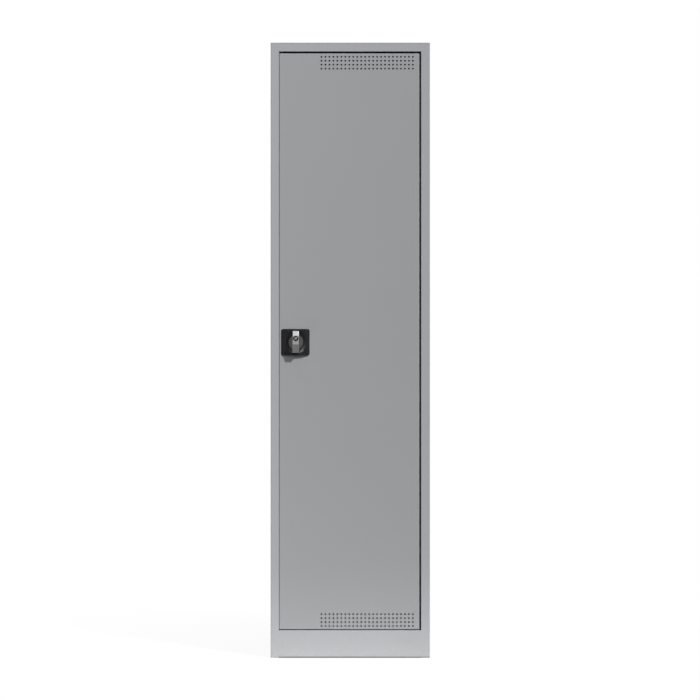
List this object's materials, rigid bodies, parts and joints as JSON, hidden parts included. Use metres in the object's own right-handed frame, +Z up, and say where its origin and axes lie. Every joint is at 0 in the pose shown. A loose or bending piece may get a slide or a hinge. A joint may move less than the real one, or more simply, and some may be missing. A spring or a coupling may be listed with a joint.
{
  "type": "spill containment cabinet",
  "caption": "Tall grey steel spill containment cabinet with one inset door, perforated vent fields, a turn grip lock with rods, and lift-out spill trays inside.",
  "frame": {"origin": "centre of the bounding box's underside, on the floor", "axes": "+Z up, +X to the right seen from the front, the door faces -Y"},
  "size_m": [0.505, 0.531, 1.95],
  "materials": {
    "frame_paint": "light grey powder coat",
    "door_paint": "light grey powder coat",
    "black_plastic": "smooth black moulding",
    "satin_metal": "satin plated casting",
    "zinc_steel": "zinc-plated steel",
    "galvanised": "galvanised sheet",
    "nylon": "black nylon",
    "rubber": "black rubber"
  },
  "bodies": {
    "carcass": {"back_panel": "frame_paint", "bottom_hinge_pin": "zinc_steel", "floor_panel": "frame_paint", "front_left_clip_1": "zinc_steel", "front_left_clip_2": "zinc_steel", "front_left_clip_3": "zinc_steel", "front_left_clip_4": "zinc_steel", "front_left_upright": "galvanised", "front_right_clip_1": "zinc_steel", "front_right_clip_2": "zinc_steel", "front_right_clip_3": "zinc_steel", "front_right_clip_4": "zinc_steel", "front_right_upright": "galvanised", "header_rail": "frame_paint", "left_side_panel": "frame_paint", "lower_door_stop": "rubber", "plinth_rail": "frame_paint", "rear_left_clip_1": "zinc_steel", "rear_left_clip_2": "zinc_steel", "rear_left_clip_3": "zinc_steel", "rear_left_clip_4": "zinc_steel", "rear_left_upright": "galvanised", "rear_right_clip_1": "zinc_steel", "rear_right_clip_2": "zinc_steel", "rear_right_clip_3": "zinc_steel", "rear_right_clip_4": "zinc_steel", "rear_right_upright": "galvanised", "right_side_panel": "frame_paint", "top_hinge_pin": "zinc_steel", "top_panel": "frame_paint", "upper_door_stop": "rubber"},
    "door": {"door_skin": "door_paint", "door_stiffener": "door_paint", "top_hinge_bush": "nylon", "bottom_hinge_bush": "nylon", "lock_rose": "black_plastic", "hub_nut": "zinc_steel", "upper_rod_guide_near": "nylon", "upper_rod_guide_far": "nylon", "lower_rod_guide_near": "nylon", "lower_rod_guide_far": "nylon"},
    "handle": {"turn_grip": "satin_metal", "drive_spindle": "zinc_steel", "cam_plate": "zinc_steel", "cam_screw": "zinc_steel", "upper_crank_pin": "zinc_steel", "lower_crank_pin": "zinc_steel"},
    "key_cylinder": {"lock_cylinder": "satin_metal"},
    "upper_rod": {"upper_lock_rod": "zinc_steel"},
    "lower_rod": {"lower_lock_rod": "zinc_steel"},
    "sump": {"sump_tray": "galvanised"},
    "tray_1": {"spill_tray_1": "galvanised"},
    "tray_2": {"spill_tray_2": "galvanised"},
    "tray_3": {"spill_tray_3": "galvanised"},
    "tray_4": {"spill_tray_4": "galvanised"}
  },
  "joints": [
    {"name": "door_hinge", "type": "hinge", "parent": "carcass", "child": "door", "pos_m": [0.20886, -0.2245, 1.003], "axis": [0, 0, 1], "range_deg": [0, 110]},
    {"name": "grip_turn", "type": "hinge", "parent": "door", "child": "handle", "pos_m": [-0.1725, -0.2345, 1], "axis": [0, 1, 0], "range_deg": [0, 90]},
    {"name": "cylinder_turn", "type": "hinge", "parent": "handle", "child": "key_cylinder", "pos_m": [-0.1725, -0.2645, 1.012], "axis": [0, 1, 0], "range_deg": [0, 90]},
    {"name": "upper_rod_slide", "type": "slide", "parent": "door", "child": "upper_rod", "axis": [0, 0, 1], "range_m": [0, 0.02475]},
    {"name": "lower_rod_slide", "type": "slide", "parent": "door", "child": "lower_rod", "axis": [0, 0, -1], "range_m": [0, 0.02475]},
    {"name": "sump_lift", "type": "slide", "parent": "carcass", "child": "sump", "axis": [0, 0, 1], "range_m": [0, 0.04]},
    {"name": "tray_1_lift", "type": "slide", "parent": "carcass", "child": "tray_1", "axis": [0, 0, 1], "range_m": [0, 0.04]},
    {"name": "tray_2_lift", "type": "slide", "parent": "carcass", "child": "tray_2", "axis": [0, 0, 1], "range_m": [0, 0.04]},
    {"name": "tray_3_lift", "type": "slide", "parent": "carcass", "child": "tray_3", "axis": [0, 0, 1], "range_m": [0, 0.04]},
    {"name": "tray_4_lift", "type": "slide", "parent": "carcass", "child": "tray_4", "axis": [0, 0, 1], "range_m": [0, 0.04]}
  ],
  "couplings": [
    {"joint": "upper_rod_slide", "follows": "grip_turn", "m_per_rad": 0.015755},
    {"joint": "lower_rod_slide", "follows": "grip_turn", "m_per_rad": 0.015755}
  ]
}
